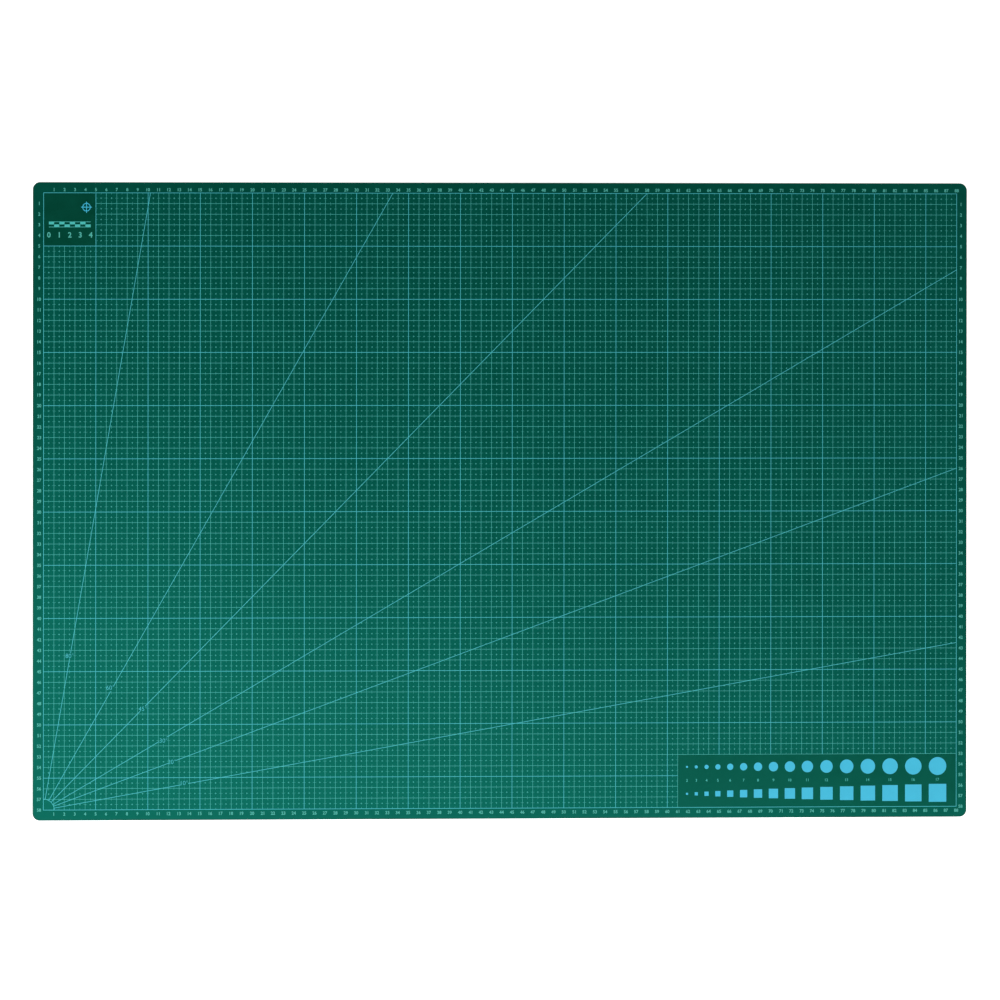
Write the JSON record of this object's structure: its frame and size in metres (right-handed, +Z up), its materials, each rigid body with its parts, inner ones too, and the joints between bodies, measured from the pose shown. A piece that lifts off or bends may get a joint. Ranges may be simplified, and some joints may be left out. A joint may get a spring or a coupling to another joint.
{
  "type": "self-healing cutting mat",
  "caption": "Large rectangular laminated cutting mat with rounded corners, printed with a centimetre grid, edge rulers, protractor rays and a panel of disc and square size gauges.",
  "frame": {"origin": "centre of the mat's underside", "axes": "+X along the long edges, from left to right as the print is read; +Y from the front edge to the back edge; +Z up, out of the printed face"},
  "size_m": [0.9, 0.6, 0.0031],
  "materials": {
    "green_pvc": "fine matte, dark green",
    "bond_film": "satin, bone",
    "rigid_core": "satin, pale grey",
    "print_ink": "matte ink, sky blue"
  },
  "bodies": {
    "root": {"top_healing_ply": "green_pvc", "upper_bond_film": "bond_film", "rigid_core_ply": "rigid_core", "lower_bond_film": "bond_film", "bottom_healing_ply": "green_pvc", "print_measuring_lines": "print_ink", "gauge_disc_02mm": "print_ink", "gauge_disc_03mm": "print_ink", "gauge_disc_04mm": "print_ink", "gauge_disc_05mm": "print_ink", "gauge_disc_06mm": "print_ink", "gauge_disc_07mm": "print_ink", "gauge_disc_08mm": "print_ink", "gauge_disc_09mm": "print_ink", "gauge_disc_10mm": "print_ink", "gauge_disc_11mm": "print_ink", "gauge_disc_12mm": "print_ink", "gauge_disc_13mm": "print_ink", "gauge_disc_14mm": "print_ink", "gauge_disc_15mm": "print_ink", "gauge_disc_16mm": "print_ink", "gauge_disc_17mm": "print_ink", "gauge_square_02mm": "print_ink", "gauge_square_03mm": "print_ink", "gauge_square_04mm": "print_ink", "gauge_square_05mm": "print_ink", "gauge_square_06mm": "print_ink", "gauge_square_07mm": "print_ink", "gauge_square_08mm": "print_ink", "gauge_square_09mm": "print_ink", "gauge_square_10mm": "print_ink", "gauge_square_11mm": "print_ink", "gauge_square_12mm": "print_ink", "gauge_square_13mm": "print_ink", "gauge_square_14mm": "print_ink", "gauge_square_15mm": "print_ink", "gauge_square_16mm": "print_ink", "gauge_square_17mm": "print_ink"}
  },
  "joints": []
}
